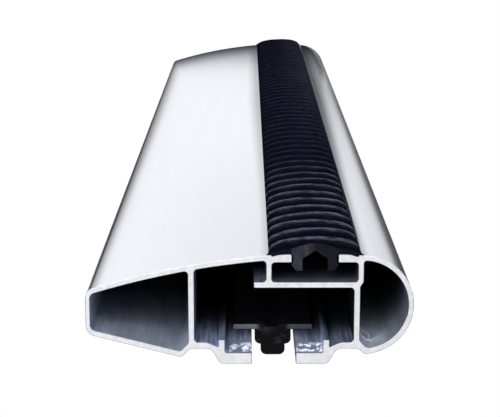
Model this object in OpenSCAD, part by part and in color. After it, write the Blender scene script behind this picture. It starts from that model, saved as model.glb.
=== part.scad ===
// Roof rack crossbar: a wing-shaped hollow extrusion with a ribbed cover strip in the load track on top
// and a filler strip in the foot slot underneath.
// X runs across the bar towards the round nose, Y along the bar and Z up.
// The origin is the middle of the bar, centred on the foot slot, in the plane that the feet clamp against.

/* [Bar] */
// Length of the cut bar
bar_length = 450; // [180:10:1500]
// Width of the section from tail to nose
bar_width = 80; // [76:0.5:90]
// Distance from the centre of the foot slot to the tip of the nose
nose_reach = 34.05; // [33.55:0.1:38.05]

/* [Outer shape] */
// Radius of the round nose
nose_r = 12.45; // [12.05:0.1:12.85]
// Height of the lowest line of the nose above the foot plane
nose_floor = 2.5; // [2:0.1:3]
// Radius of the crowned top
crown_r = 200; // [170:5:260]
// Distance of the top of the crown from the centre of the foot slot
crown_x = 14.8; // [12:0.2:17]
// Height of the top of the crown above the foot plane
crown_top = 28.1; // [27.8:0.1:28.6]
// Height at which the tail wall would meet the sloping floor
tail_floor = 7.6; // [6:0.1:9]
// Radius of the lower corner of the tail
tail_low_r = 2.8; // [1.5:0.1:4]
// Radius of the upper corner of the tail
tail_top_r = 2.2; // [1:0.1:3]

/* [Walls] */
// Thickness of the crowned top, the sloping floor and the nose
skin = 1.3; // [1:0.05:1.5]
// Thickness of the upright tail wall
tail_wall = 1.1; // [0.9:0.05:1.5]
// Thickness of the two upright webs and of the floor beside the foot slot
web = 1.5; // [1.2:0.05:1.8]
// Distance of each upright web from the centre of the foot slot
web_x = 20.2; // [20:0.1:20.6]
// Radius of the fillets inside the chambers
chamber_r = 0.9; // [0.4:0.1:1.2]

/* [Load track] */
// Distance of the centre of the load track from the centre of the foot slot
track_x = 9.9; // [9.5:0.1:10.2]
// Width of the mouth of the load track
track_mouth = 11.3; // [10.5:0.1:12]
// Width of the load track under its lips
track_width = 21; // [20.6:0.1:21.4]
// Height of the load track under its lips
track_height = 5; // [4.5:0.1:5.5]
// Thickness of the lips at the mouth
track_lip = 2.05; // [1.8:0.05:2.3]
// Thickness of the walls and floor of the load track
track_wall = 1.35; // [1.1:0.05:1.5]
// Length of the floor's ledge beyond the track wall
ledge = 3; // [1:0.1:5]
// Depth of the seat groove along the outer edge of each lip
seat_depth = 0.4; // [0.2:0.05:0.6]

/* [Foot slot] */
// Width of the mouth of the foot slot
foot_mouth = 10.8; // [10:0.1:12]
// Thickness of the lips that the feet clamp
foot_lip = 2.85; // [2.5:0.05:3.2]
// Width of the channel between the two guide ribs
foot_width = 24; // [23:0.1:24.6]
// Thickness of the guide ribs
guide_rib = 1.6; // [1.2:0.1:1.8]
// Height of the top of the guide ribs above the foot plane
guide_top = 6; // [5.2:0.1:7]
// Height of the recess on each side of the clamped block
recess_z = 3.9; // [3.5:0.1:4.2]

/* [Ribbed cover strip] */
// Width of the cover strip over its edges
cover_width = 23.8; // [23:0.1:24.6]
// Radius of the dome across the rib crests
cover_r = 34; // [28:0.5:40]
// Height of the rib crests above the foot plane
cover_top = 31.2; // [30.8:0.1:31.8]
// Depth of the valleys beside the ridge in the middle of the strip
rib_depth = 1.5; // [0.8:0.1:2]
// Depth of the valleys over the ridge
ridge_depth = 0.35; // [0.2:0.05:0.6]
// Wanted distance from rib to rib, rounded to a whole number of ribs
rib_pitch = 9; // [6:0.5:15]
// Width over the two legs that pass the mouth of the load track
leg_span = 10.6; // [9.8:0.1:10.8]
// Width between the two legs
leg_gap = 6.1; // [5:0.1:6.6]
// Distance that each barb reaches under its lip
barb = 0.4; // [0.2:0.1:0.8]
// Height of the legs' ends above the floor of the load track
leg_clear = 3; // [2.5:0.1:3.2]

/* [Foot slot strip] */
// Width of the flange that lies on the lips
flange_width = 20.3; // [18:0.1:22]
// Thickness of the flange
flange = 1.45; // [1.2:0.05:1.8]
// Width of the body that fills the mouth
body_width = 9.3; // [9:0.1:9.8]
// Distance that the body reaches below the foot plane
body_drop = 0.9; // [0.5:0.1:1.5]
// Width of the bead under the body
bead_width = 6.4; // [5:0.1:7]
// Distance that the bead reaches below the foot plane
bead_drop = 3.8; // [3:0.1:5]
// Distance of each end of the strip inside the end of the bar
strip_inset = 19; // [0:1:40]
// Width of the groove along the top of the strip
top_groove = 3.4; // [2:0.2:5]

/* [Fit] */
// Clearance between a strip and the metal that it lies on
fit = 0.1; // [0.05:0.05:0.2]

/* [Hidden] */

arc_step = 10;
crown_step = 4;
edge_r = 0.25;

tail_x = nose_reach - bar_width;
nose_x = nose_reach - nose_r;
nose_z = nose_floor + nose_r;
nose_top = nose_floor + 2 * nose_r;

heel_x = web_x + 2.4;
heel_z = 1.7;
heel_wall = 1.9;
slope_rate = (heel_z - tail_floor) / (-heel_x - tail_x);
recess_x = web_x + 0.4;
toe_angle = 41;
block_top = 15.4;
block_foot = 13.1;

web_in = web_x - web / 2;
web_out = web_x + web / 2;
chamber_floor = recess_z + web;
rib_out = foot_width / 2 + guide_rib;

crown_to_lip = 0.4;
track_floor = crown_top - crown_to_lip - track_lip - track_height;
track_roof = track_floor + track_height;
lip_crest = track_roof + track_lip;
track_in_l = track_x - track_width / 2;
track_in_r = track_x + track_width / 2;
track_out_l = track_in_l - track_wall;
track_out_r = track_in_r + track_wall;
seat_x = track_width / 2 + 0.15;
lip_bend_x = track_width / 2 - 1.8;
lip_bend_z = lip_crest - 0.15;
crown_side = crown(track_x - seat_x);
beside_z = max(nose_top, crown_side);

leg_end = track_floor + leg_clear;
wing = 1;
edge_height = 0.2;
edge_taper = 1.6;
rib_count = round(bar_length / rib_pitch);
pitch = bar_length / rib_count;
rib_points = 3;
rib_shape = 2.4;

strip_length = bar_length - 2 * strip_inset;

// Height of the crowned top at x, or of a surface the given depth below it.
function crown(x, depth = 0) =
    crown_top - crown_r + sqrt(pow(crown_r - depth, 2) - pow(x - crown_x, 2));

// Points along the crown from x0 to x1, ready for rounded().
function crown_run(x0, x1, depth = 0) =
    let (n = ceil(abs(x1 - x0) / crown_step))
    [for (i = [0:n]) let (x = x0 + (x1 - x0) * i / n) [x, crown(x, depth), 0]];

// Points along the nose circle from angle a0 to a1, ready for rounded().
function nose_run(r, a0, a1) =
    let (n = ceil(abs(a1 - a0) / 5))
    [for (i = [0:n]) let (a = a0 + (a1 - a0) * i / n) [nose_x + r * cos(a), nose_z + r * sin(a), 0]];

// Height of the sloping floor's outer face at x, or of a surface the given distance above it.
function slope(x, above = 0) =
    tail_floor + slope_rate * (x - tail_x) + above * norm([1, slope_rate]);

// Height at x of the slanted face from the right-hand recess down to the nose.
function toe(x) = recess_z - tan(toe_angle) * (x - recess_x);

function unit(v) = v / norm(v);

// The arc that rounds corner p = [x, z, radius] between its neighbours a and b.
function corner(a, p, b) =
    let (
        at = [p[0], p[1]],
        to_a = [a[0], a[1]] - at,
        to_b = [b[0], b[1]] - at,
        u = unit(to_a),
        v = unit(to_b),
        half = acos(max(-1, min(1, u * v))) / 2,
        r = min(p[2], 0.48 * min(norm(to_a), norm(to_b)) * tan(half))
    )
    r < 0.01 || half > 89 ? [at] :
    let (
        centre = at + unit(u + v) * r / sin(half),
        first = at + u * r / tan(half) - centre,
        sweep = (180 - 2 * half) * sign(u[1] * v[0] - u[0] * v[1]),
        n = max(2, ceil(abs(sweep) / arc_step)),
        start = atan2(first[1], first[0])
    )
    [for (i = [0:n]) centre + r * [cos(start + sweep * i / n), sin(start + sweep * i / n)]];

// An outline whose corners [x, z, radius] are rounded.
function rounded(p) =
    let (n = len(p))
    [for (i = [0:n - 1]) each corner(p[(i + n - 1) % n], p[i], p[(i + 1) % n])];

function reversed(p) = [for (i = [len(p) - 1:-1:0]) p[i]];

// The same corners on the other side of the line x = about, in the same order.
function mirrored(p, about = 0) = [for (q = p) [2 * about - q[0], q[1], q[2]]];

// Top of the right-hand lip, from the mouth out to the seat groove and up to the surface beside it.
function lip_top(beside) = [
    [track_x + track_mouth / 2, lip_crest, 0.5],
    [track_x + lip_bend_x, lip_bend_z, 3],
    [track_x + seat_x - 0.25, beside - seat_depth, 0.15],
    [track_x + seat_x, beside, 0.1]
];

module along_bar(length) {
    rotate([90, 0, 0]) linear_extrude(height = length, center = true) children();
}

// Outer outline, with the nose as a true half circle and the rest as one rounded outline.
module outer_outline() {
    far_x = nose_x + nose_r + 1;
    intersection() {
        translate([nose_x, nose_z]) circle(r = nose_r, $fn = 180);
        polygon([[nose_x, toe(nose_x)], [far_x, toe(far_x)], [far_x, nose_top + 1], [nose_x, nose_top + 1]]);
    }
    polygon(rounded(concat(
        [
            [tail_x, tail_floor, tail_low_r],
            [-heel_x, heel_z, 1],
            [-recess_x, recess_z, 1.4],
            [-block_top, recess_z, 2],
            [-block_foot, 0, 1.3],
            [block_foot, 0, 1.3],
            [block_top, recess_z, 2],
            [recess_x, recess_z, 1.4],
            [nose_x, toe(nose_x), 0],
            [nose_x + 1, nose_z, 0],
            [nose_x, nose_top, 0]
        ],
        reversed(lip_top(nose_top)),
        mirrored(lip_top(crown_side), track_x),
        crown_run(track_x - seat_x - 1, tail_x + tail_top_r + 0.5),
        [[tail_x, crown(tail_x), tail_top_r]]
    )));
}

// Chamber between the tail wall and the left web.
module tail_chamber() {
    x0 = tail_x + tail_wall;
    polygon(rounded(concat(
        [
            [x0, slope(x0, skin), 1.4],
            [-web_out - heel_wall, slope(-web_out - heel_wall, skin), chamber_r],
            [-web_out, chamber_floor - 0.3, chamber_r],
            [-web_out, crown(-web_out, skin), chamber_r]
        ],
        crown_run(-web_out - 2, x0 + 2, skin),
        [[x0, crown(x0, skin), 1.2]]
    )));
}

// Wide middle chamber. The feet clamp inside it, so it is open to the foot slot below.
module foot_chamber() {
    floor_run = [
        [web_in, chamber_floor, chamber_r],
        [block_top + 1, chamber_floor, 1.5],
        [rib_out, recess_z + 0.25, 0.2],
        [rib_out, guide_top, 0.3],
        [foot_width / 2, guide_top, 0.3],
        [foot_width / 2, foot_lip, 0.4],
        [foot_mouth / 2, foot_lip, edge_r],
        [foot_mouth / 2, -1, 0]
    ];
    polygon(rounded(concat(
        mirrored(floor_run),
        reversed(floor_run),
        [
            [web_in, track_floor - track_wall, chamber_r],
            [track_out_l - ledge, track_floor - track_wall, edge_r],
            [track_out_l - ledge, track_floor, edge_r],
            [track_out_l, track_floor, chamber_r],
            [track_out_l, crown(track_out_l, skin), chamber_r]
        ],
        crown_run(track_out_l - 2, -web_in + 2, skin),
        [[-web_in, crown(-web_in, skin), chamber_r]]
    )));
}

// Chamber inside the round nose.
module nose_chamber() {
    polygon(rounded(concat(
        [
            [web_out, chamber_floor + 0.4, chamber_r],
            [nose_x + 1.3, nose_floor + skin, 1.6]
        ],
        nose_run(nose_r - skin, -76, 82),
        [
            [track_out_r, nose_top - skin, 0.7],
            [track_out_r, track_floor + 0.1, 0.8],
            [web_out, track_floor - 1.1, 0.6]
        ]
    )));
}

// Load track with its mouth.
module load_track() {
    right = [
        [track_x + track_width / 2, track_floor, 0.8],
        [track_x + track_width / 2, track_roof, 0.8],
        [track_x + track_mouth / 2, track_roof, edge_r],
        [track_x + track_mouth / 2, lip_crest + 5, 0]
    ];
    polygon(rounded(concat(right, reversed(mirrored(right, track_x)))));
}

module bar_extrusion() {
    color([0.88, 0.89, 0.91]) along_bar(bar_length) difference() {
        outer_outline();
        tail_chamber();
        foot_chamber();
        nose_chamber();
        load_track();
    }
}

// Underside of the cover strip's right half, from the end of the leg to the tapered edge.
cover_under = [
    [track_x + leg_gap / 2, leg_end, 0],
    [track_x + leg_gap / 2 + 1.6, leg_end, 0.4],
    [track_x + track_mouth / 2 + barb, track_roof - fit, 0.25],
    [track_x + leg_span / 2, track_roof - fit, 0.15],
    [track_x + leg_span / 2, lip_crest + fit, 0.6],
    [track_x + lip_bend_x, lip_bend_z + fit, 3],
    [track_x + seat_x - 0.3, beside_z - seat_depth + fit, 0.15],
    [track_x + seat_x, beside_z + fit, 0.1],
    [track_x + cover_width / 2, beside_z + fit, 0]
];

// Section in a valley between ribs: thin wings beside a ridge, on two barbed legs round a pointed hollow.
module cover_section() {
    ridge_z = cover_top - ridge_depth;
    top = [
        [track_x + cover_width / 2, beside_z + fit + edge_height, 0],
        [track_x + track_width / 2 - 1, lip_crest + wing, 0],
        [track_x + leg_span / 2 + 1, lip_crest + 1.4 * wing, 0],
        [track_x + leg_span / 5, ridge_z - 0.15, 0]
    ];
    hollow = [
        [track_x - leg_gap / 2, leg_end + 3, 0.6],
        [track_x, leg_end + 5, 0.5],
        [track_x + leg_gap / 2, leg_end + 3, 0.6]
    ];
    right = concat(cover_under, top);
    left = reversed(mirrored(right, track_x));
    polygon(rounded(concat(right, [[track_x, ridge_z, 0]], left, hollow)));
}

// Space that the ribs fill: from the wings up past the crests, between the tapered edges.
module rib_envelope() {
    edge_x = track_x + cover_width / 2;
    edge_z = beside_z + fit;
    right = [
        [track_x + track_width / 2 - 1, lip_crest + wing / 2, 0],
        [edge_x - edge_height, edge_z + edge_height / 2, 0],
        [edge_x - edge_taper, edge_z + 1.2 * edge_taper, 0],
        [edge_x - edge_taper, cover_top + 1, 0]
    ];
    polygon(rounded(concat(right, reversed(mirrored(right, track_x)))));
}

// Radius of the ribbed dome at a share t of one rib, from valley to valley.
function rib_radius(t) = cover_r - rib_depth * pow(abs(2 * t - 1), rib_shape);

// Dome turned about an axis along the bar, with one arched rib after another along its length.
module ribbed_dome() {
    inner = cover_r - rib_depth - 3;
    edge = [
        for (i = [0:rib_count - 1], k = [0:rib_points - 1])
            [rib_radius(k / rib_points), (i + k / rib_points) * pitch]
    ];
    sweep = 2 * asin(cover_width / 2 / inner) + 4;
    translate([track_x, bar_length / 2, cover_top - cover_r]) rotate([90, 0, 0])
        rotate_extrude(angle = sweep, start = 90 - sweep / 2, $fn = 240)
            polygon(concat([[inner, 0]], edge, [[rib_radius(1), bar_length], [inner, bar_length]]));
}

module cover_strip() {
    color([0.2, 0.2, 0.24]) union() {
        along_bar(bar_length) cover_section();
        intersection() {
            along_bar(bar_length) rib_envelope();
            ribbed_dome();
        }
    }
}

module foot_slot_strip() {
    bottom = foot_lip + fit;
    top = bottom + flange;
    right = [
        [bead_width / 2, -bead_drop, 1.2],
        [bead_width / 2, -body_drop, 0.3],
        [body_width / 2, -body_drop, 1.3],
        [body_width / 2, bottom, 0.1],
        [flange_width / 2, bottom, 0.3],
        [flange_width / 2, top, 0.5],
        [top_groove / 2 + 0.6, top, 0.6],
        [top_groove / 2 - 0.6, top - 0.8, 0.4]
    ];
    color([0.13, 0.13, 0.16]) along_bar(strip_length)
        polygon(rounded(concat(right, reversed(mirrored(right)))));
}

bar_extrusion();
cover_strip();
foot_slot_strip();
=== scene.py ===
import math

import bmesh
import bpy
from bpy.props import FloatProperty, FloatVectorProperty, IntProperty, PointerProperty
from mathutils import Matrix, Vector, noise


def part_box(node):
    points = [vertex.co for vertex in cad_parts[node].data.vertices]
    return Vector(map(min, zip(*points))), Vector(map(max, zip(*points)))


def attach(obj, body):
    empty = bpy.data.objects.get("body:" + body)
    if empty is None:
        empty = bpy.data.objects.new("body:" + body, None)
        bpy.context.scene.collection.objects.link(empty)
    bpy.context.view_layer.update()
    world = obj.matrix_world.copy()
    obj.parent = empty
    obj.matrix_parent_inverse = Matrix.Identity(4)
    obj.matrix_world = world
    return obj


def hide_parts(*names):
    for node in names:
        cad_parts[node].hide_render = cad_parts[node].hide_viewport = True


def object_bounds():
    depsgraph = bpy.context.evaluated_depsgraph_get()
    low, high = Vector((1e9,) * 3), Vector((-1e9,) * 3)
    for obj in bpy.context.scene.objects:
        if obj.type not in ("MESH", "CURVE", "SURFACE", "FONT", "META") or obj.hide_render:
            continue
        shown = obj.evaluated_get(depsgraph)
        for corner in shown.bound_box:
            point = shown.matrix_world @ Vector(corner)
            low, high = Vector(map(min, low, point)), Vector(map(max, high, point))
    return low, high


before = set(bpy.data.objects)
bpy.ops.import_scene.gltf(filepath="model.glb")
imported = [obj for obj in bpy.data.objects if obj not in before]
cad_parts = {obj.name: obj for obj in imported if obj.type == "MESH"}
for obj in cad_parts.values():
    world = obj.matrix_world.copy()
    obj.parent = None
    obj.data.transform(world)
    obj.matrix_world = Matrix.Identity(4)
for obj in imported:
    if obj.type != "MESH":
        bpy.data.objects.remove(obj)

bl_info = {
    "name": "Roof rack crossbar",
    "version": (1, 0, 0),
    "blender": (4, 5, 0),
    "location": "View3D > Sidebar > Crossbar",
    "description": "Wing-shaped crossbar with a ribbed cover strip and a foot slot strip",
    "category": "Object",
}

MM = 0.001
BODY = "root"
CAD_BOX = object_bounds()
BAR_LOW, BAR_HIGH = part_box("bar_extrusion")
COVER_LOW, COVER_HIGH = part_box("cover_strip")
SLOT_STRIP_LOW, SLOT_STRIP_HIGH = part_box("foot_slot_strip")
HALF_LENGTH = BAR_HIGH.y
COVER_CENTRE = (COVER_LOW.x + COVER_HIGH.x) / 2
WEB_CENTRE = 20.2 * MM
CLOSE = 0.01 * MM
END_FACING = 0.9
SMOOTH_ANGLE = math.radians(28)
CAMERA_PLACE = (-6.57 * MM, -578.9 * MM, 118.3 * MM)
CAMERA_TURN = (math.radians(77.381), 0, math.radians(-0.114))
BLACK = (0.0, 0.0, 0.0)


class BarProperties(bpy.types.PropertyGroup):
    """Sizes and finish of the aluminium bar."""

    nose_radius: FloatProperty(
        name="Nose radius", description="Radius of the round nose", default=12.45 * MM,
        subtype="DISTANCE", unit="LENGTH")
    crown_radius: FloatProperty(
        name="Crown radius", description="Radius of the crowned top", default=200 * MM,
        subtype="DISTANCE", unit="LENGTH")
    skin: FloatProperty(
        name="Skin", description="Thickness of the top, the floor and the nose", default=1.3 * MM,
        subtype="DISTANCE", unit="LENGTH")
    web: FloatProperty(
        name="Web", description="Thickness of the upright webs", default=1.5 * MM,
        subtype="DISTANCE", unit="LENGTH")
    track_centre: FloatProperty(
        name="Track centre", description="Distance from the foot slot to the load track",
        default=9.9 * MM, subtype="DISTANCE", unit="LENGTH")
    burr: FloatProperty(
        name="Sawn edge", description="Width of the broken edge round the sawn ends",
        default=0.12 * MM, subtype="DISTANCE", unit="LENGTH")
    colour: FloatVectorProperty(
        name="Anodised colour", description="Colour of the anodised aluminium",
        default=(0.9, 0.91, 0.925), size=3, min=0, max=1, subtype="COLOR")
    roughness: FloatProperty(
        name="Roughness", description="Roughness of the anodised surface", default=0.17,
        min=0, max=1, subtype="FACTOR")


class CoverProperties(bpy.types.PropertyGroup):
    """Sizes and finish of the ribbed cover strip."""

    ribs: IntProperty(
        name="Ribs", description="Number of ribs along the strip", default=50, min=1)
    slices: IntProperty(
        name="Slices", description="Slices that shape one rib", default=10, min=6)
    waver: FloatProperty(
        name="Waver", description="How far the soft ribs wander from true",
        default=0.16 * MM, subtype="DISTANCE", unit="LENGTH")
    colour: FloatVectorProperty(
        name="Rubber colour", description="Colour of the ribbed rubber",
        default=(0.0015, 0.0018, 0.0045), size=3, min=0, max=1, subtype="COLOR")
    # Colour of the crests' rubbed wear and painted highlight, and of the painted sheen.
    crest_colour: FloatVectorProperty(
        name="Crest colour", description="Colour of the rubbed crests of the ribs",
        default=(0.05, 0.052, 0.07), size=3, min=0, max=1, subtype="COLOR")


class SlotStripProperties(bpy.types.PropertyGroup):
    """Sizes and finish of the strip in the foot slot."""

    end_round: FloatProperty(
        name="End round", description="Rounding of the edges at the strip's ends",
        default=0.35 * MM, subtype="DISTANCE", unit="LENGTH")
    colour: FloatVectorProperty(
        name="Strip colour", description="Colour of the slot strip", default=(0.006, 0.006, 0.008),
        size=3, min=0, max=1, subtype="COLOR")


class StageProperties(bpy.types.PropertyGroup):
    """Floor, light and camera."""

    lens: FloatProperty(
        name="Lens", description="Focal length on a 36 mm wide sensor", default=108.9, min=1,
        subtype="DISTANCE_CAMERA", unit="CAMERA")
    floor_drop: FloatProperty(
        name="Floor drop", description="Distance of the floor below the bar", default=60 * MM,
        subtype="DISTANCE", unit="LENGTH")


class Shade:
    """One output of a shader node, so that shader maths reads as plain expressions."""

    def __init__(self, surface, socket):
        self.surface = surface
        self.socket = socket

    def maths(self, operation, *values):
        return self.surface.node("Math", {"operation": operation}, dict(enumerate(values)))

    def __add__(self, other):
        return self.maths("ADD", self, other)

    def __radd__(self, other):
        return self.maths("ADD", other, self)

    def __sub__(self, other):
        return self.maths("SUBTRACT", self, other)

    def __rsub__(self, other):
        return self.maths("SUBTRACT", other, self)

    def __mul__(self, other):
        return self.maths("MULTIPLY", self, other)

    def __rmul__(self, other):
        return self.maths("MULTIPLY", other, self)

    def __truediv__(self, other):
        return self.maths("DIVIDE", self, other)

    def __rtruediv__(self, other):
        return self.maths("DIVIDE", other, self)

    def __pow__(self, other):
        return self.maths("POWER", self, other)

    def absolute(self):
        return self.maths("ABSOLUTE", self)

    def sine(self):
        return self.maths("SINE", self)

    def between(self, low, high):
        """0 at low, 1 at high, with a smooth run between."""
        return self.surface.node(
            "MapRange", {"interpolation_type": "SMOOTHSTEP"},
            {"Value": self, "From Min": low, "From Max": high})


class Surface:
    """A node tree with one method that adds any node."""

    def __init__(self, tree):
        self.tree = tree
        tree.nodes.clear()

    def node(self, kind, settings=None, sockets=None, output=0):
        made = self.tree.nodes.new("ShaderNode" + kind)
        for name, value in (settings or {}).items():
            setattr(made, name, value)
        for name, value in (sockets or {}).items():
            if isinstance(value, Shade):
                self.tree.links.new(value.socket, made.inputs[name])
            else:
                made.inputs[name].default_value = value
        return Shade(self, made.outputs[output])

    def place(self):
        """Coordinates of the object, in metres."""
        return self.node("TexCoord", output="Object")

    def axes(self, vector):
        split = self.node("SeparateXYZ", sockets={"Vector": vector})
        return [Shade(self, socket) for socket in split.socket.node.outputs]

    def grain(self, scale, detail=3.0):
        """Noise of about this many lumps per metre along each axis."""
        stretched = self.node("Mapping", sockets={"Vector": self.place(), "Scale": scale})
        return self.node(
            "TexNoise", sockets={"Vector": stretched, "Scale": 1.0, "Detail": detail})

    def blend(self, factor, first, second):
        """The first colour where the factor is 0, the second where it is 1."""
        return self.node(
            "Mix", {"data_type": "RGBA"},
            {"Factor": factor, 6: self.colour(first), 7: self.colour(second)}, output=2)

    @staticmethod
    def colour(value):
        return value if isinstance(value, Shade) else (*value, 1)

    def bump(self, height, depth, strength=1.0):
        return self.node(
            "Bump", sockets={"Height": height, "Distance": depth, "Strength": strength})

    def finish(self, shader, kind="OutputMaterial"):
        end = self.tree.nodes.new("ShaderNode" + kind)
        self.tree.links.new(shader.socket, end.inputs["Surface"])


def new_surface(name):
    material = bpy.data.materials.new(name)
    material.use_nodes = True
    return material, Surface(material.node_tree)


def scaled(colour, factor):
    return tuple(factor * part for part in colour)


def anodised_metal(bar):
    """Satin anodised aluminium with faint die lines along the bar. Painted shade darkens it over the
    crown towards the front end, a painted shadow darkens it right beside the cover strip, and painted
    shade turns it blue-grey at the far rim."""
    material, s = new_surface("anodised_aluminium")
    x, y, z = s.axes(s.place())
    lines = s.grain((1400, 5, 1400))
    cloud = s.grain((35, 12, 35))
    far = y.between(-200 * MM, 50 * MM)
    # Painted shadow of the cover strip: a dark band on the metal right beside it, wider and darker
    # towards the far end.
    from_strip = (x - bar.track_centre).absolute() - 11.3 * MM
    beside = 1.0 - (from_strip / (2.4 * MM + 3.2 * MM * far)).between(0.0, 1.0)
    painted_strip_shadow = beside * (0.35 + 0.4 * far) * z.between(24 * MM, 26 * MM)
    on_crown = x.between(-45 * MM, 0.0) * (1.0 - x.between(20 * MM, 25 * MM))
    # Painted shade: darker over the crown towards the front end.
    painted_front_shade = (1.0 - y.between(-220 * MM, -20 * MM)) * on_crown
    # Painted shade: blue-grey over the top of the far end.
    painted_far_shade = 0.85 * y.between(170 * MM, 230 * MM) * z.between(12 * MM, 16 * MM)
    tone = s.blend(lines.between(0.35, 0.65), scaled(bar.colour, 0.97), bar.colour)
    tone = s.blend(painted_front_shade, tone, scaled(bar.colour, 0.85))
    tone = s.blend(painted_strip_shadow, tone, (0.02, 0.022, 0.035))
    s.finish(s.node("BsdfPrincipled", sockets={
        "Metallic": 1.0,
        "Base Color": s.blend(painted_far_shade, tone, (0.2, 0.29, 0.46)),
        "Roughness": bar.roughness - 0.02 + 0.03 * lines + 0.03 * cloud,
        "Normal": s.bump(lines, 0.006 * MM),
    }))
    return material


def sawn_metal(bar):
    """Bright sawn aluminium with fine arcs left by the blade."""
    material, s = new_surface("sawn_aluminium")
    x, _, z = s.axes(s.place())
    blade_x, blade_z = 40 * MM, -110 * MM
    from_blade = ((x - blade_x) ** 2.0 + (z - blade_z) ** 2.0) ** 0.5
    arcs_per_metre, unevenness = 17000.0, 9.0
    wander = s.grain((180, 180, 180))
    marks = (from_blade * arcs_per_metre + wander * unevenness).sine()
    mottle = s.grain((900, 900, 900))
    s.finish(s.node("BsdfPrincipled", sockets={
        "Metallic": 0.7,
        "Base Color": s.blend(mottle.between(0.3, 0.7), (0.75, 0.755, 0.775), (0.85, 0.855, 0.87)),
        "Roughness": 0.42 + 0.06 * mottle,
        "Normal": s.bump(marks * 0.5 + mottle, 0.006 * MM, 0.5),
    }))
    return material


def shaded_broken_edge():
    """Painted shade: dark grey on the broken edges under and beside the sawn ends."""
    material, s = new_surface("shaded_broken_edge")
    s.finish(s.node("BsdfPrincipled", sockets={
        "Metallic": 0.3,
        "Base Color": s.blend(s.grain((600, 600, 600)), (0.05, 0.05, 0.055), (0.2, 0.2, 0.21)),
        "Roughness": 0.6,
    }))
    return material


class Inside:
    """Where a point of the inner walls lies: how far in, and in which of the bar's openings."""

    def __init__(self, s, bar):
        self.x, y, self.z = s.axes(s.place())
        self.depth = HALF_LENGTH - y.absolute()
        past_track = (self.x - bar.track_centre).absolute().between(10.7 * MM, 11 * MM)
        self.track = self.z.between(20.2 * MM, 20.5 * MM) * (1.0 - past_track)
        past_web = self.x.absolute().between(19.8 * MM, 20 * MM)
        self.middle = (1.0 - self.track) * (1.0 - past_web)
        self.nose = self.x.between(20.5 * MM, 20.8 * MM) * (1.0 - self.track)
        self.right = self.x.between(12.4 * MM, 13.4 * MM)
        self.low_nose = self.nose * (1.0 - self.z.between(4 * MM, 12 * MM))
        self.by_web = 1.0 - self.x.between(23 * MM, 29 * MM)
        lip_height = self.z.between(2.2 * MM, 2.6 * MM) * (1.0 - self.z.between(3.2 * MM, 3.6 * MM))
        self.lips = self.middle * lip_height

    def painted_light_fade(self):
        """Painted light and shade: 1 at the open end, falling to 0 further in, and soonest in the
        load track.
        """
        reach = 21.5 * MM - 9 * MM * self.nose - 16.5 * MM * self.track - self.middle * (
            8.5 * MM + 3.5 * MM * self.right)
        steepness = 2.2 + 3.3 * self.middle + 0.5 * self.nose
        return 1.0 / (1.0 + (self.depth / reach) ** steepness)

    def brightness(self):
        """How light each wall is painted at its open end, as painted light and shade."""
        guide_ribs_up = self.middle * self.z.between(5.6 * MM, 6.4 * MM)
        # Painted shade darkens the load track as the cover strip's shadow, the tops of the guide ribs
        # and the right of the middle chamber; painted light brightens the lips and the low nose.
        return (
            1.0 - 0.5 * self.nose - 0.7 * self.track - 0.75 * guide_ribs_up + 0.7 * self.lips
            + self.low_nose * (0.4 + 1.8 * self.by_web) + self.middle * (0.2 - 0.5 * self.right))

    def bared_and_glinting(self, s):
        """Patches on the lips of the foot slot that are rubbed bright, and that also glow as a
        painted highlight.
        """
        fine = s.grain((1900, 1000, 1900), detail=2.0).between(0.35, 0.5)
        flakes = s.grain((900, 420, 900), detail=3.0).between(0.46, 0.52)
        patches = s.grain((210, 60, 210), detail=1.0).between(0.38, 0.5)
        band = self.depth.between(0.6 * MM, 1.4 * MM) * (1.0 - self.depth.between(6.5 * MM, 9 * MM))
        return self.lips * fine * flakes * patches * band

    def scratches_and_glints(self, s, cloud):
        """Scratches low in the nose beside the web, which also glow as a painted highlight: fine
        loops and one slanted stroke.
        """
        from_loop = (s.grain((190, 130, 330), detail=1.0) - 0.47).absolute()
        loops = 0.6 - 0.6 * from_loop.between(0.008, 0.03)
        slant = 9.5 * MM - 0.7 * (self.x - 21 * MM) - 9 * MM * (cloud - 0.5)
        from_stroke = (self.depth - slant).absolute()
        stroke = (1.0 - from_stroke.between(0.2 * MM, 1.1 * MM)) * (
            1.0 - self.x.between(25 * MM, 27 * MM))
        band = self.depth.between(1 * MM, 5 * MM) * (1.0 - self.depth.between(12 * MM, 17 * MM))
        return (loops + stroke) * self.low_nose * self.by_web * band


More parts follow.
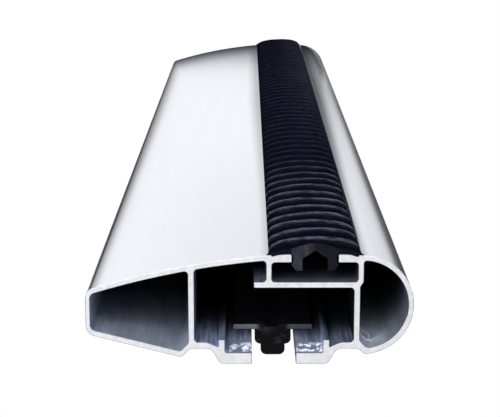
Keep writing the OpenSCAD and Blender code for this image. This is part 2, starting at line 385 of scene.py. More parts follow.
def chamber_metal(bar):
    """Extruded walls inside the chambers, scuffed at the open ends, with painted light there that
    fades to painted shade further in, and rubbed patches and scratch marks that glow as painted
    highlights.
    """
    material, s = new_surface("chamber_aluminium")
    at = Inside(s, bar)
    lines = s.grain((1500, 9, 1500))
    cloud = s.grain((260, 70, 260), detail=6.0)
    drawn = s.grain((1300, 60, 1300)).between(0.3, 0.65)
    painted_light_patches = s.grain((420, 260, 420), detail=4.0).between(0.4, 0.65)
    streaks = s.grain((700, 150, 260), detail=4.0).between(0.6, 0.68)
    streaked = streaks * (1.0 - at.middle - at.track) * (1.0 - at.depth.between(3 * MM, 16 * MM))
    bared_and_glinting = at.bared_and_glinting(s)
    scratches_and_glints = at.scratches_and_glints(s, cloud)
    scuffed = bared_and_glinting + scratches_and_glints + 0.5 * streaked
    light_fade = at.painted_light_fade()
    texture = 0.35 + 0.4 * lines + 0.8 * cloud - 0.5 * at.middle * (1.0 - drawn)
    # Painted light: blue-grey tints for the walls, patchy and palest low in the nose beside the web;
    # painted shade turns them almost black further in.
    light = s.blend(at.middle, (0.61, 0.67, 0.82), (0.53, 0.62, 0.9))
    light = s.blend(at.low_nose * at.by_web * (0.35 + 0.65 * painted_light_patches), light, (0.74, 0.84, 1.0))
    wall = s.blend(light_fade * at.brightness() * texture, (0.01, 0.012, 0.018), light)
    s.finish(s.node("BsdfPrincipled", sockets={
        "Metallic": 0.45 * light_fade.between(0.02, 0.5) * (1.0 - bared_and_glinting),
        "Base Color": s.blend(scuffed, wall, (0.92, 0.95, 1.0)),
        "Roughness": 0.36 + 0.12 * lines,
        "Specular IOR Level": 0.0,
        # Painted highlight: the rubbed patches and the scratch marks glow.
        "Emission Color": s.blend(bared_and_glinting + 0.45 * scratches_and_glints, BLACK, (0.54, 0.56, 0.6)),
        "Emission Strength": 1.0,
        "Normal": s.bump(lines + scuffed, 0.015 * MM),
    }))
    return material


def ribbed_rubber(cover):
    """Black rubber with a fine moulded grain, grey on the crests of the front ribs as rubbed wear and
    painted highlight, and with a painted sheen to the right.
    """
    material, s = new_surface("ribbed_rubber")
    crest = s.node("Attribute", {"attribute_name": "crest"}, output="Fac")
    x, y, _ = s.axes(s.place())
    grain = s.grain((2600, 2600, 2600))
    rubbed = s.grain((260, 500, 260), detail=5.0)
    drawn = s.grain((450, 1700, 1700), detail=4.0)
    # The grey on the crests is rubbed wear and painted highlight, and it fades away from the front
    # end.
    in_front = 1.0 - 0.88 * y.between(-200 * MM, -100 * MM)
    worn_and_lit = crest * in_front * (0.25 + 0.7 * rubbed.between(0.3, 0.62))
    # Painted sheen: a faint grey over the right of the strip, growing towards the far end.
    painted_sheen = 0.1 * y.between(-160 * MM, 140 * MM) * x.between(4 * MM, 24 * MM)
    grey = (worn_and_lit + painted_sheen) * (0.35 + 1.3 * drawn.between(0.3, 0.7))
    s.finish(s.node("BsdfPrincipled", sockets={
        "Base Color": s.blend(grey, cover.colour, cover.crest_colour),
        "Roughness": 0.42 + 0.2 * rubbed,
        "Specular IOR Level": 0.0,
        "Normal": s.bump(grain + rubbed * 2.0, 0.012 * MM, 0.6),
    }))
    return material


def cut_rubber():
    """Matt grey face where the ribbed strip was cut, with drag marks of the blade, and painted shade
    on its wings and to the right."""
    material, s = new_surface("cut_rubber")
    from_centre = s.axes(s.place())[0] - COVER_CENTRE
    shaded_wings = from_centre.absolute().between(5.3 * MM, 5.9 * MM)
    right = from_centre.between(-2.4 * MM, 0.5 * MM)
    drag = s.grain((1500, 300, 240), detail=4.0)
    mottle = s.grain((420, 420, 420), detail=5.0)
    streaked = mottle.between(0.3, 0.7) * 0.5 + drag.between(0.35, 0.65) * 0.5
    face = s.blend(streaked, (0.02, 0.021, 0.03), (0.062, 0.061, 0.085))
    # Painted shade: darker to the right of the face and on its wings.
    face = s.blend(right * 0.85, face, (0.006, 0.007, 0.013))
    s.finish(s.node("BsdfPrincipled", sockets={
        "Base Color": s.blend(shaded_wings, face, (0.006, 0.0065, 0.011)),
        "Roughness": 0.55 + 0.2 * mottle,
        "Specular IOR Level": 0.06,
        "Normal": s.bump(drag + mottle, 0.08 * MM, 0.8),
    }))
    return material


def slot_strip_rubber(strip):
    """Smooth black rubber with faint flow lines and a soft sheen."""
    material, s = new_surface("slot_strip_rubber")
    lines = s.grain((900, 12, 900))
    mottle = s.grain((300, 300, 300), detail=5.0)
    s.finish(s.node("BsdfPrincipled", sockets={
        "Base Color": s.blend(mottle.between(0.35, 0.75), strip.colour, scaled(strip.colour, 2.0)),
        "Roughness": 0.3 + 0.15 * mottle,
        "Specular IOR Level": 0.2,
        "Normal": s.bump(lines + mottle * 2.0, 0.02 * MM, 0.5),
    }))
    return material


def cut_slot_strip(strip):
    """Cut end of the slot strip, with painted light across its flange, lighter to the left, and
    patches of painted highlight higher up its body.
    """
    material, s = new_surface("cut_slot_strip")
    x, _, z = s.axes(s.place())
    mottle = s.grain((420, 420, 420), detail=4.0)
    flange = z.between(3.0 * MM, 3.2 * MM) * x.absolute().between(3 * MM, 5 * MM)
    # Painted light on the flange's cut face, lighter to the left.
    painted_flange_light = flange * (1.3 - 0.8 * x.between(-6 * MM, 6 * MM)) * mottle.between(0.1, 0.5)
    # Painted highlight in patches higher up the body.
    painted_light_patches = s.grain((330, 330, 520), detail=4.0).between(0.5, 0.7) * z.between(-2 * MM, 0.0)
    grey = painted_flange_light + 0.14 * painted_light_patches * (1.0 - flange)
    s.finish(s.node("BsdfPrincipled", sockets={
        "Base Color": s.blend(grey, scaled(strip.colour, 0.3), (0.2, 0.2, 0.235)),
        "Roughness": 0.35 + 0.25 * mottle,
        "Specular IOR Level": 0.08,
        "Normal": s.bump(mottle, 0.25 * MM, 0.7),
    }))
    return material


def select_nothing():
    """Leave no object selected, whatever the last step left behind."""
    if bpy.context.mode != "OBJECT":
        bpy.ops.object.mode_set(mode="OBJECT")
    bpy.ops.object.select_all(action="DESELECT")


class Corner:
    """A corner of an outline, rounded to a radius."""

    def __init__(self, x, z, radius=0.0):
        self.x, self.z, self.radius = x, z, radius


class Sweep:
    """The end of an arc round a centre. The arc takes the shorter way, or the way that turns says."""

    def __init__(self, centre, x, z, turns=None):
        self.centre, self.x, self.z, self.turns = centre, x, z, turns


# A chord strays this far from its arc at most, and a rounded corner turns this much at a step.
ARC_STRAY = 0.004 * MM
CORNER_STEP = math.radians(11)


def polar(centre, point):
    """Angle at which a point is seen from a centre."""
    return math.atan2(point.z - centre[1], point.x - centre[0])


def mesh_vertex(mesh, x, z):
    return min(mesh.verts, key=lambda v: (v.co.x - x) ** 2 + (v.co.z - z) ** 2)


def half_angle(before, corner, after):
    """Half the angle between the two edges at a corner."""
    to_before = Vector((before.x - corner.x, before.z - corner.z))
    to_after = Vector((after.x - corner.x, after.z - corner.z))
    return to_before.angle(to_after) / 2


def reach(path, i):
    """How far along its edges the rounding of corner i wants to go."""
    corner = path[i]
    if isinstance(corner, Sweep) or not corner.radius:
        return 0.0
    return corner.radius / math.tan(half_angle(path[i - 1], corner, path[(i + 1) % len(path)]))


def round_corner(path, i):
    """Bevel the vertex at a corner, so that the bevel is an arc of the corner's radius. Corners
    that share a short edge share nearly all of it, in the ratio of what they want."""
    corner = path[i]
    wanted = offset = reach(path, i)
    nearly_all = 0.97
    for j in (i - 1, (i + 1) % len(path)):
        length = math.hypot(path[j].x - corner.x, path[j].z - corner.z)
        offset = min(offset, nearly_all * length * wanted / (wanted + reach(path, j)))
    mesh = bmesh.from_edit_mesh(bpy.context.object.data)
    bpy.ops.mesh.select_all(action="DESELECT")
    mesh_vertex(mesh, corner.x, corner.z).select_set(True)
    mesh.select_flush_mode()
    turn = math.pi - 2 * half_angle(path[i - 1], corner, path[(i + 1) % len(path)])
    segments = max(2, round(turn / CORNER_STEP))
    bpy.ops.mesh.bevel(offset=offset, segments=segments, affect="VERTICES", profile=0.5)


def draw_outline(path, y):
    """Draw a closed outline into the mesh in edit mode, one vertex extrude or spin after another."""
    bpy.ops.mesh.select_all(action="DESELECT")
    bpy.ops.mesh.primitive_plane_add(size=1 * MM, location=(path[0].x, y, path[0].z))
    bpy.ops.mesh.merge(type="CENTER")
    for last, point in zip(path, path[1:]):
        if isinstance(point, Sweep):
            turn = polar(point.centre, point) - polar(point.centre, last)
            turn = (turn + math.pi) % (2 * math.pi) - math.pi
            if point.turns is not None and turn * point.turns < 0:
                turn += 2 * math.pi * point.turns
            radius = math.hypot(point.x - point.centre[0], point.z - point.centre[1])
            step = 2 * math.acos(1 - ARC_STRAY / radius)
            bpy.ops.mesh.spin(
                steps=max(2, math.ceil(abs(turn) / step)), angle=turn,
                center=(point.centre[0], y, point.centre[1]), axis=(0, 1, 0))
        else:
            bpy.ops.mesh.extrude_vertices_move(
                TRANSFORM_OT_translate={"value": (point.x - last.x, 0, point.z - last.z)})
    mesh = bmesh.from_edit_mesh(bpy.context.object.data)
    mesh_vertex(mesh, path[0].x, path[0].z).select_set(True)
    bpy.ops.mesh.edge_face_add()
    for i in range(len(path)):
        if reach(path, i) > CLOSE:
            round_corner(path, i)


def start_piece(name):
    """A new empty mesh object in edit mode, with vertices as the select mode."""
    select_nothing()
    bpy.ops.mesh.primitive_plane_add(size=1 * MM)
    piece = bpy.context.object
    piece.name = name
    piece.data.name = name
    bpy.ops.object.mode_set(mode="EDIT")
    bpy.ops.mesh.select_mode(type="VERT")
    bpy.ops.mesh.select_all(action="SELECT")
    bpy.ops.mesh.delete(type="VERT")
    return piece


def select_faces(test):
    """Select the faces of the mesh in edit mode that pass a test."""
    bpy.ops.mesh.select_mode(type="FACE")
    bpy.ops.mesh.select_all(action="DESELECT")
    data = bpy.context.object.data
    mesh = bmesh.from_edit_mesh(data)
    for face in mesh.faces:
        face.select_set(test(face))
    bmesh.update_edit_mesh(data)


def select_edges(test):
    """Select the edges of the mesh in edit mode that pass a test."""
    bpy.ops.mesh.select_mode(type="EDGE")
    bpy.ops.mesh.select_all(action="DESELECT")
    data = bpy.context.object.data
    mesh = bmesh.from_edit_mesh(data)
    for edge in mesh.edges:
        edge.select_set(test(edge))
    bmesh.update_edit_mesh(data)


def on_end(face):
    return abs(face.normal.y) > END_FACING


def extrude_outlines(low, high, rim):
    """Fill the outlines, extrude them along y and break the edges of both ends, so that the
    whole runs from low to high."""
    bpy.ops.mesh.select_all(action="SELECT")
    bpy.ops.mesh.fill(use_beauty=True)
    bpy.ops.mesh.select_all(action="SELECT")
    bpy.ops.mesh.extrude_region_move(
        TRANSFORM_OT_translate={"value": (0, high - low - 2 * rim, 0)})
    bpy.ops.mesh.select_all(action="SELECT")
    bpy.ops.mesh.normals_make_consistent(inside=False)
    select_faces(on_end)
    bpy.ops.mesh.inset(thickness=rim, depth=rim, use_even_offset=True)


def paint(piece, materials, choose):
    """Give a piece its materials, and each face the one that choose names."""
    for material in materials:
        piece.data.materials.append(material)
    for face in piece.data.polygons:
        face.material_index = choose(face)


def settle(piece, node):
    """Make a finished piece stand for its node."""
    select_nothing()
    piece.select_set(True)
    bpy.context.view_layer.objects.active = piece
    bpy.ops.object.shade_smooth_by_angle(angle=SMOOTH_ANGLE)
    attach(piece, BODY)
    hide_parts(node)


def mirror_path(path, about=0.0):
    return [Corner(2 * about - c.x, c.z, c.radius) for c in path]


def corners(*rows):
    """Corners from rows of x, z and radius in millimetres."""
    return [Corner(*(MM * value for value in row)) for row in rows]


class Section:
    """The bar's cross section, worked out from its driving sizes. The foot slot is centred on
    x = 0, and z = 0 is the underside of its lips."""

    def __init__(self, bar):
        self.skin = bar.skin
        self.tail = BAR_LOW.x
        self.track = bar.track_centre
        self.web_in = WEB_CENTRE - bar.web / 2
        self.web_out = WEB_CENTRE + bar.web / 2
        self.crown_radius = bar.crown_radius
        crown_x, crown_top = 14.8 * MM, 28.1 * MM
        self.crown_centre = (crown_x, crown_top - bar.crown_radius)
        self.nose_radius = bar.nose_radius
        self.nose_centre = (BAR_HIGH.x - bar.nose_radius, 2.5 * MM + bar.nose_radius)
        self.nose_top = self.nose_centre[1] + bar.nose_radius
        self.tail_low = 7.6 * MM
        self.heel = (-22.6 * MM, 1.7 * MM)
        self.recess = (20.6 * MM, 3.9 * MM)
        self.floor = 5.4 * MM
        wall = 1.35 * MM
        self.track_floor = 20.65 * MM
        self.shelf = self.track_floor - wall
        self.half_track = 10.5 * MM
        self.past_track_wall = self.half_track + wall

    def crown(self, x, depth=0.0):
        """Height of the crowned top, or of a surface below it."""
        centre_x, centre_z = self.crown_centre
        return centre_z + math.sqrt((self.crown_radius - depth) ** 2 - (x - centre_x) ** 2)

    def slope(self, x, above=0.0):
        """Height of the sloping floor's outer face, or of a surface above it."""
        heel_x, heel_z = self.heel
        rate = (heel_z - self.tail_low) / (heel_x - self.tail)
        return self.tail_low + rate * (x - self.tail) + above * math.hypot(1, rate)

    def toe(self):
        """Where the slanted face of the right-hand recess meets the nose circle."""
        x, z = self.recess
        slant = math.radians(41)
        down = Vector((math.cos(slant), -math.sin(slant)))
        away = Vector((x - self.nose_centre[0], z - self.nose_centre[1]))
        length = -away.dot(down) + math.sqrt(
            away.dot(down) ** 2 - away.length_squared + self.nose_radius ** 2)
        return x + length * down.x, z + length * down.y

    def lip(self, beside):
        """Top of the right-hand lip of the load track, from its mouth to the surface beside it."""
        t = self.track / MM
        return corners(
            (t + 5.65, 25.65, 0.25), (t + 5.65, 27.7, 0.5), (t + 8.7, 27.55, 3),
            (t + 10.4, beside / MM - 0.4, 0.15), (t + 10.65, beside / MM, 0.1))

    def outside(self):
        """The outer outline with the load track's and the foot slot's inside, clockwise from the
        left-hand lip of the foot slot."""
        half_foot = corners(
            (5.4, 0, 0.15), (5.4, 2.85, 0.25), (12, 2.85, 0.4), (12, 6, 0.3), (13.6, 6, 0.3),
            (13.6, 4.15, 0.2), (16.4, 5.4, 1.5))
        under = [Corner(*self.recess, 1.4 * MM), *corners((15.4, 3.9, 2), (13.1, 0, 1.3))]
        beside = self.crown(self.track - 10.65 * MM)
        left_lip = mirror_path(self.lip(beside), self.track)[::-1]
        track = [
            Corner(self.track - self.half_track, 25.65 * MM, 0.8 * MM),
            Corner(self.track - self.half_track, self.track_floor, 0.8 * MM),
            Corner(self.track + self.half_track, self.track_floor, 0.8 * MM),
            Corner(self.track + self.half_track, 25.65 * MM, 0.8 * MM),
        ]
        toe_x, toe_z = self.toe()
        ledge = self.track - 14.85 * MM
        wall = self.track - self.past_track_wall
        left_crown = -self.web_in + 2 * MM
        return [
            *mirror_path(under[::-1]),
            Corner(*self.heel, 1 * MM),
            Corner(self.tail, self.tail_low, 2.8 * MM),
            Corner(self.tail, self.crown(self.tail), 2.6 * MM),
            Corner(self.tail + 3.2 * MM, self.crown(self.tail + 3.2 * MM)),
            Sweep(self.crown_centre, left_lip[0].x, beside),
            *left_lip[1:],
            *track,
            *self.lip(self.nose_top),
            Corner(self.nose_centre[0], self.nose_top),
            Sweep(self.nose_centre, toe_x, toe_z, turns=-1),
            *under,
            *half_foot,
            Corner(self.web_in, self.floor, 0.9 * MM),
            Corner(self.web_in, self.shelf, 0.9 * MM),
            Corner(ledge, self.shelf, 0.25 * MM),
            Corner(ledge, self.track_floor, 0.25 * MM),
            Corner(wall, self.track_floor, 0.9 * MM),
            Corner(wall, self.crown(wall, self.skin), 0.9 * MM),
            Corner(wall - 2 * MM, self.crown(wall - 2 * MM, self.skin)),
            Sweep(self.crown_centre, left_crown, self.crown(left_crown, self.skin)),
            Corner(-self.web_in, self.crown(-self.web_in, self.skin), 0.9 * MM),
            Corner(-self.web_in, self.floor, 0.9 * MM),
            *mirror_path(half_foot[::-1]),
        ]

    def tail_chamber(self):
        left = self.tail + 1.1 * MM
        heel = -self.web_out - 1.9 * MM
        crown_from, crown_to = left + 2 * MM, -self.web_out - 2 * MM
        return [
            Corner(left, self.slope(left, self.skin), 1.4 * MM),
            Corner(left, self.crown(left, self.skin), 1.4 * MM),
            Corner(crown_from, self.crown(crown_from, self.skin)),
            Sweep(self.crown_centre, crown_to, self.crown(crown_to, self.skin)),
            Corner(-self.web_out, self.crown(-self.web_out, self.skin), 0.9 * MM),
            Corner(-self.web_out, self.floor - 0.3 * MM, 0.9 * MM),
            Corner(heel, self.slope(heel, self.skin), 0.9 * MM),
        ]

    def nose_chamber(self):
        radius = self.nose_radius - self.skin
        centre_x, centre_z = self.nose_centre
        high, low = math.radians(82), math.radians(-76)
        wall = self.track + self.past_track_wall
        return [
            Corner(self.web_out, self.floor + 0.4 * MM, 0.9 * MM),
            Corner(self.web_out, self.track_floor - 1.1 * MM, 0.6 * MM),
            Corner(wall, self.track_floor + 0.1 * MM, 0.8 * MM),
            Corner(wall, self.nose_top - self.skin, 0.7 * MM),
            Corner(centre_x + radius * math.cos(high), centre_z + radius * math.sin(high)),
            Sweep(self.nose_centre, centre_x + radius * math.cos(low),
                  centre_z + radius * math.sin(low), turns=-1),
            Corner(centre_x + 1.3 * MM, 2.5 * MM + self.skin, 1.6 * MM),
        ]


ANODISED, SAWN, INNER, SHADED_EDGE = range(4)
MOULDED, CUT = range(2)


class CROSSBAR_OT_bar(bpy.types.Operator):
    """Model the extruded bar and give it its anodised, sawn and inner finishes"""

    bl_idname = "crossbar.bar"
    bl_label = "Extruded bar"

    def execute(self, context):
        bar = context.scene.crossbar_bar
        section = Section(bar)
        piece = start_piece("wing_bar")
        for outline in (section.outside(), section.tail_chamber(), section.nose_chamber()):
            draw_outline(outline, -HALF_LENGTH + bar.burr)
        extrude_outlines(-HALF_LENGTH, HALF_LENGTH, bar.burr)
        select_nothing()
        finishes = [anodised_metal(bar), sawn_metal(bar), chamber_metal(bar), shaded_broken_edge()]
        paint(piece, finishes, lambda face: self.finish_of(face, section))
        settle(piece, "bar_extrusion")
        return {"FINISHED"}

    @staticmethod
    def finish_of(face, section):
        """Sawn on the ends and the upper broken edges, dark grey as painted shade on the other broken
        edges, and inner below the bar's outer skin.
        """
        x, z = face.center.x, face.center.z
        if on_end(face):
            return SAWN
        if abs(face.normal.y) > 0.5:
            # A broken edge: bright sawn where it looks up, but not on the foot slot's lips; dark grey
            # as painted shade elsewhere.
            upper = face.normal.z > 0.2 and (abs(x) > 12 * MM or z > 4 * MM)
            return SAWN if upper else SHADED_EDGE
        # Inner walls lie this far inside the outer skin. They begin at the sill above the floor,
        # which is lower towards the heel, and the tops of the foot slot's lips are inner too.
        under_skin = 0.5 * MM
        sill = min((4.4 + 1.1 * min(0.0, x / MM + 20.6)) * MM, 4.1 * MM)
        inner = sill < z < section.crown(x) - under_skin
        nose_x, nose_z = section.nose_centre
        if x > nose_x:
            inner = math.hypot(x - nose_x, z - nose_z) < section.nose_radius - under_skin
        elif x < -22 * MM:
            inner = inner and z > section.slope(x, under_skin) and x > section.tail + under_skin
        elif abs(x) < 12.2 * MM:
            inner = inner or 2.7 * MM < z < 4.2 * MM
        on_track_lip = abs(x - section.track) < 11 * MM and z > 25.9 * MM
        return INNER if inner and not on_track_lip else ANODISED


# Across the cover strip, in millimetres: distance from its centre, and depth below its top.
CREST_DROP = (
    (0, 0), (4, 0.15), (6, 0.4), (7.6, 0.75), (9, 1.2), (10, 1.75), (10.8, 2.3), (11.9, 3.4))
VALLEY_DROP = ((0, 0.5), (2, 0.75), (4, 1.4), (6, 2), (9, 2.4), (11, 3.05), (11.9, 3.45))
# The crests are highest this far to the right of the centre.
CREST_LEAN = 2 * MM
# The strip's underside and hollow: x from its centre, z from its lowest point, and radius.
COVER_UNDERSIDE = (
    (3.05, 0, 0), (4.65, 0, 0.4), (6.05, 1.9, 0.25), (5.3, 1.9, 0.15), (5.3, 4.15, 0.6),
    (8.7, 4, 3), (10.35, 3.55, 0.15), (10.65, 3.95, 0.1))
COVER_HOLLOW = ((-3.05, 3, 0.6), (0, 5, 0.4), (3.05, 3, 0.6))
TOP_STEPS = 44


def height_across(drops, x):
    """Height at x across the strip, from drops below its top in millimetres."""
    x = min(abs(x) / MM, drops[-1][0])
    for (x0, drop0), (x1, drop1) in zip(drops, drops[1:]):
        if x <= x1:
            return COVER_HIGH.z - MM * (drop0 + (drop1 - drop0) * (x - x0) / (x1 - x0))
    return COVER_HIGH.z - MM * drops[-1][1]


def smooth(low, high, value):
    share = min(1.0, max(0.0, (value - low) / (high - low)))
    return share * share * (3 - 2 * share)


def swell(t):
    """Share of the full rib height at a share t of the pitch, from valley to valley."""
    return smooth(0.14, 0.36, t) * (1 - smooth(0.6, 0.88, t))


def shine(t):
    """How grey the rib is at a share t of the pitch, as rubbed wear and painted highlight: grey
    towards its crest, black behind it.
    """
    return smooth(0.08, 0.46, t) ** 5 * (1 - smooth(0.55, 0.75, t))


class CROSSBAR_OT_cover(bpy.types.Operator):
    """Model the ribbed cover strip, one rib first and then its copies"""

    bl_idname = "crossbar.cover"
    bl_label = "Ribbed cover strip"

    half_width = COVER_HIGH.x - COVER_CENTRE

    def execute(self, context):
        cover = context.scene.crossbar_cover
        pitch = (COVER_HIGH.y - COVER_LOW.y) / cover.ribs
        piece = start_piece("ribbed_cover")
        draw_outline(self.outline(), COVER_LOW.y)
        bpy.ops.mesh.select_all(action="SELECT")
        for _ in range(cover.slices):
            bpy.ops.mesh.extrude_region_move(
                TRANSFORM_OT_translate={"value": (0, pitch / cover.slices, 0)})
        select_nothing()
        self.raise_rib(piece, pitch)
        self.copy_rib(piece, cover.ribs, pitch)
        self.soften(piece, cover.waver)
        self.close_ends()
        paint(piece, [ribbed_rubber(cover), cut_rubber()],
              lambda face: CUT if self.is_cut(face) else MOULDED)
        settle(piece, "cover_strip")
        return {"FINISHED"}

    def outline(self):
        """The strip's cut face at a valley, with its top points closer together at the sides."""
        right, hollow = (
            [Corner(COVER_CENTRE + x * MM, COVER_LOW.z + z * MM, radius * MM)
             for x, z, radius in rows] for rows in (COVER_UNDERSIDE, COVER_HOLLOW))
        right.append(Corner(COVER_CENTRE + self.half_width, right[-1].z))
        top = []
        for i in range(1, TOP_STEPS):
            even = 1 - 2 * i / TOP_STEPS
            x = self.half_width * (0.6 * even + 0.4 * math.cos(math.pi * i / TOP_STEPS))
            top.append(Corner(COVER_CENTRE + x, height_across(VALLEY_DROP, x)))
        return [*right, *top, *mirror_path(right, COVER_CENTRE)[::-1], *hollow]

    def raise_rib(self, piece, pitch):
        """Lift the slices of the top into one rib, and note where it is rubbed and where a highlight
        is painted.
        """
        crest = piece.data.attributes.new("crest", "FLOAT", "POINT")
        for vertex in piece.data.vertices:
            x = vertex.co.x - COVER_CENTRE
            valley = height_across(VALLEY_DROP, x)
            if vertex.co.z < valley - 2 * CLOSE:
                continue
            t = (vertex.co.y - COVER_LOW.y) / pitch % 1.0
            crest.data[vertex.index].value = shine(t)
            if abs(x) < self.half_width - CLOSE:
                lean = math.copysign(CREST_LEAN, x - CREST_LEAN)
                across = (x - CREST_LEAN) * self.half_width / (self.half_width - lean)
                vertex.co.z += swell(t) * max(0.0, height_across(CREST_DROP, across) - valley)

    @staticmethod
    def copy_rib(piece, ribs, pitch):
        copies = piece.modifiers.new("ribs", "ARRAY")
        copies.count = ribs
        copies.use_relative_offset = False
        copies.use_constant_offset = True
        copies.constant_offset_displace = (0, pitch, 0)
        copies.use_merge_vertices = True
        copies.merge_threshold = 0.1 * CLOSE
        bpy.ops.object.modifier_apply(modifier=copies.name)

    def soften(self, piece, waver):
        """Let the ribs wander a little, as soft rubber does, and draw the sides in, but leave the
        ends and the seat on the metal as they are."""
        side, drawn_in = 1.2 * MM, 0.6 * MM
        for vertex in piece.data.vertices:
            x = vertex.co.x - COVER_CENTRE
            valley = height_across(VALLEY_DROP, x)
            if vertex.co.z < valley - 2 * CLOSE:
                continue
            inland = min(1.0, (COVER_HIGH.y - abs(vertex.co.y)) / (2 * MM))
            raised = min(1.0, (vertex.co.z - valley) / MM)
            # Lumps per metre across and along, and a layer of the noise for each.
            drift = noise.noise((x * 90, vertex.co.y * 110, 3.7))
            sag = noise.noise((x * 170, vertex.co.y * 75, 9.2))
            vertex.co.y += inland * waver * 4.5 * drift
            vertex.co.y = min(max(vertex.co.y, COVER_LOW.y), COVER_HIGH.y)
            vertex.co.z += inland * waver * min(0.0, sag - 0.6) * raised
            past = abs(x) - self.half_width + side
            if past > 0:
                vertex.co.x -= math.copysign(inland * min(drawn_in, past), x)

    @staticmethod
    def close_ends():
        bpy.ops.object.mode_set(mode="EDIT")
        for end in (COVER_LOW.y, COVER_HIGH.y):
            select_edges(lambda edge: all(abs(v.co.y - end) < CLOSE for v in edge.verts))
            bpy.ops.mesh.fill(use_beauty=True)
        bpy.ops.mesh.select_all(action="SELECT")
        bpy.ops.mesh.normals_make_consistent(inside=False)
        select_nothing()

    @staticmethod
    def is_cut(face):
        """Whether a face lies in either end and looks straight out of it."""
        straight = 0.98
        return abs(face.normal.y) > straight and abs(abs(face.center.y) - COVER_HIGH.y) < CLOSE


class CROSSBAR_OT_slot_strip(bpy.types.Operator):
    """Model the strip that fills the foot slot"""

    bl_idname = "crossbar.slot_strip"
    bl_label = "Foot slot strip"

    def execute(self, context):
        strip = context.scene.crossbar_slot_strip
        low, high = SLOT_STRIP_LOW, SLOT_STRIP_HIGH
        bead, shoulder, body = 3.1 * MM, -0.9 * MM, 4.65 * MM
        flange_low = high.z - 1.45 * MM
        groove, groove_bed, groove_floor = 2.3 * MM, 1.1 * MM, high.z - 0.8 * MM
        right = [
            Corner(bead, low.z, 1.5 * MM),
            Corner(bead, shoulder, 0.1 * MM),
            Corner(body, shoulder, 1.6 * MM),
            Corner(body, flange_low, 0.1 * MM),
            Corner(high.x, flange_low, 0.3 * MM),
            Corner(high.x, high.z, 0.5 * MM),
            Corner(groove, high.z, 0.6 * MM),
            Corner(groove_bed, groove_floor, 0.4 * MM),
        ]
        piece = start_piece("slot_filler")
        draw_outline([*right, *mirror_path(right)[::-1]], low.y)
        bpy.ops.mesh.select_all(action="SELECT")
        bpy.ops.mesh.edge_face_add()
        bpy.ops.mesh.extrude_region_move(TRANSFORM_OT_translate={"value": (0, high.y - low.y, 0)})
        bpy.ops.mesh.select_all(action="SELECT")
        bpy.ops.mesh.normals_make_consistent(inside=False)
        select_faces(on_end)
        bpy.ops.mesh.bevel(offset=strip.end_round, segments=4, affect="EDGES", clamp_overlap=True)
        select_nothing()
        paint(piece, [slot_strip_rubber(strip), cut_slot_strip(strip)],
              lambda face: CUT if on_end(face) else MOULDED)
        settle(piece, "foot_slot_strip")
        return {"FINISHED"}


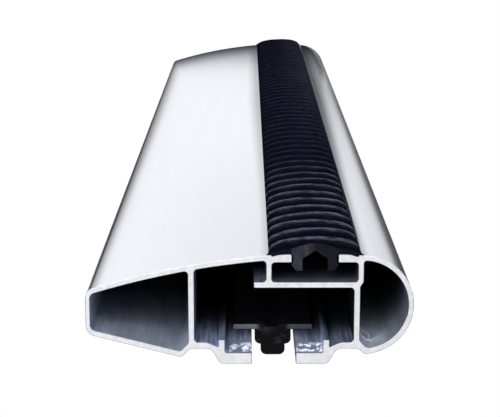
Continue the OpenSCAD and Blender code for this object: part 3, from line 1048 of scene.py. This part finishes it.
class CROSSBAR_OT_stage(bpy.types.Operator):
    """Set up the floor, the soft light and the camera"""

    bl_idname = "crossbar.stage"
    bl_label = "Stage"

    def execute(self, context):
        stage = context.scene.crossbar_stage
        self.add_camera(context, stage)
        self.add_floor(stage)
        self.add_light("above", (0.05, -0.02, 0.42), (0.0, -0.1, 0.0), size=0.3, power=4, shows=False)
        self.add_light("front", (-0.3, -1.3, 0.7), (0.0, -0.22, 0.0), size=0.9, power=12)
        self.add_light("back", (0.4, 1.3, 0.7), (0.0, 0.22, 0.0), size=0.9, power=12, shows=False)
        section = Section(context.scene.crossbar_bar)
        tail_top = section.crown(section.tail)
        self.add_flag("tail_gauze", lambda along, up: Vector((
            section.tail - 0.5 * MM, HALF_LENGTH * (2.01 * along - 1),
            tail_top - 0.2 * MM + up * (4.4 + 4 * along) * MM)), 1)
        left, width = section.tail - 1 * MM, BAR_HIGH.x - BAR_LOW.x + 15 * MM
        self.add_flag("far_gauze", lambda along, up: Vector((
            left + along * width, HALF_LENGTH + 1 * MM,
            section.crown(left + along * width) - 0.1 * MM + up * (8 + 17 * along) * MM)), 12)
        self.add_world(context)
        context.scene.view_settings.view_transform = "Standard"
        return {"FINISHED"}

    @staticmethod
    def add_camera(context, stage):
        select_nothing()
        bpy.ops.object.camera_add(location=CAMERA_PLACE, rotation=CAMERA_TURN)
        camera = context.object
        camera.data.lens = stage.lens
        camera.data.sensor_width = 36
        camera.data.clip_start = 0.01
        context.scene.camera = camera

    @staticmethod
    def add_floor(stage):
        select_nothing()
        bpy.ops.mesh.primitive_plane_add(size=30, location=(0, 0, CAD_BOX[0].z - stage.floor_drop))
        floor = bpy.context.object
        floor.name = "studio_floor"
        material, s = new_surface("studio_floor")
        white = s.node("Emission", sockets={"Color": (1, 1, 1, 1), "Strength": 1.0})
        clear = s.node("BsdfTransparent")
        below = s.node("NewGeometry", output="Backfacing")
        s.finish(s.node("MixShader", sockets={0: below, 1: white, 2: clear}))
        floor.data.materials.append(material)
        floor.visible_glossy = False
        floor.visible_diffuse = False

    @staticmethod
    def add_flag(name, place, steps):
        """A black gauze, thinner upwards, that shows in the metal only and draws a soft dark rim."""
        select_nothing()
        bpy.ops.mesh.primitive_grid_add(x_subdivisions=steps, y_subdivisions=1, size=2)
        flag = bpy.context.object
        flag.name = name
        for vertex in flag.data.vertices:
            vertex.co = place((vertex.co.x + 1) / 2, (vertex.co.y + 1) / 2)
        material, s = new_surface(name)
        up = s.axes(s.node("TexCoord", output="UV"))[1]
        black = s.node("Emission", sockets={"Color": (0, 0, 0, 1)})
        clear = s.node("BsdfTransparent")
        s.finish(s.node("MixShader", sockets={0: 0.03 + 0.97 * up, 1: black, 2: clear}))
        flag.data.materials.append(material)
        flag.visible_camera = False
        flag.visible_diffuse = False
        flag.visible_shadow = False

    @staticmethod
    def add_light(name, place, target, size, power, shows=True):
        select_nothing()
        bpy.ops.object.light_add(type="AREA", location=place)
        light = bpy.context.object
        light.name = name
        light.data.size = size
        light.data.energy = power
        light.visible_glossy = shows
        aim = Vector(target) - Vector(place)
        light.rotation_euler = aim.to_track_quat("-Z", "Y").to_euler()

    @staticmethod
    def add_world(context):
        """A white studio, dark only low behind the bar, where its rims mirror it."""
        world = bpy.data.worlds.new("studio")
        world.use_nodes = True
        context.scene.world = world
        s = Surface(world.node_tree)
        x, y, z = s.axes(s.node("TexCoord", output="Generated"))
        # Dark straight behind and below the horizon, and above it only within an ellipse.
        behind = y.between(-0.1, 0.25) * z.between(-0.6, -0.4)
        ahead = 1.0 - x.absolute().between(0.32, 0.5)
        above = z.between(-0.07, 0.04)
        aside = (x + 0.2 * z - 0.095) / 0.072
        away = (aside ** 2.0 + ((z + 0.05) / 0.27) ** 2.0) ** 0.5
        right = 1.0 - 0.16 * x.between(0.1, 0.2) - 0.06 * x.between(0.18, 0.26)
        light = right * (1.0 - behind * ahead * (1.0 - above * away.between(0.72, 1.22)))
        studio = s.blend(light, (0.02, 0.022, 0.03), (0.97, 0.985, 1.02))
        seen = s.node("LightPath", output="Is Camera Ray")
        soft = s.node("LightPath", output="Is Diffuse Ray")
        s.finish(s.node("Background", sockets={
            "Color": s.blend(seen, studio, (1.0, 1.0, 1.0)), "Strength": 1.0 - 0.75 * soft,
        }), "OutputWorld")


class CROSSBAR_PT_panel(bpy.types.Panel):
    """Lists the steps that build the crossbar"""

    bl_idname = "CROSSBAR_PT_panel"
    bl_label = "Crossbar"
    bl_space_type = "VIEW_3D"
    bl_region_type = "UI"
    bl_category = "Crossbar"

    def draw(self, context):
        for operator, group in STEPS:
            box = self.layout.box()
            box.operator(operator.bl_idname)
            settings = getattr(context.scene, group)
            for name in settings.bl_rna.properties.keys():
                if name not in ("rna_type", "name"):
                    box.prop(settings, name)


STEPS = (
    (CROSSBAR_OT_stage, "crossbar_stage"),
    (CROSSBAR_OT_bar, "crossbar_bar"),
    (CROSSBAR_OT_cover, "crossbar_cover"),
    (CROSSBAR_OT_slot_strip, "crossbar_slot_strip"),
)
GROUPS = {
    "crossbar_stage": StageProperties,
    "crossbar_bar": BarProperties,
    "crossbar_cover": CoverProperties,
    "crossbar_slot_strip": SlotStripProperties,
}


def register():
    for name, group in GROUPS.items():
        bpy.utils.register_class(group)
        setattr(bpy.types.Scene, name, PointerProperty(type=group))
    for operator, _ in STEPS:
        bpy.utils.register_class(operator)
    bpy.utils.register_class(CROSSBAR_PT_panel)


def unregister():
    bpy.utils.unregister_class(CROSSBAR_PT_panel)
    for operator, _ in reversed(STEPS):
        bpy.utils.unregister_class(operator)
    for name, group in reversed(GROUPS.items()):
        delattr(bpy.types.Scene, name)
        bpy.utils.unregister_class(group)


def main():
    register()
    bpy.ops.crossbar.stage()
    bpy.ops.crossbar.bar()
    bpy.ops.crossbar.cover()
    bpy.ops.crossbar.slot_strip()


if __name__ == "__main__":
    main()
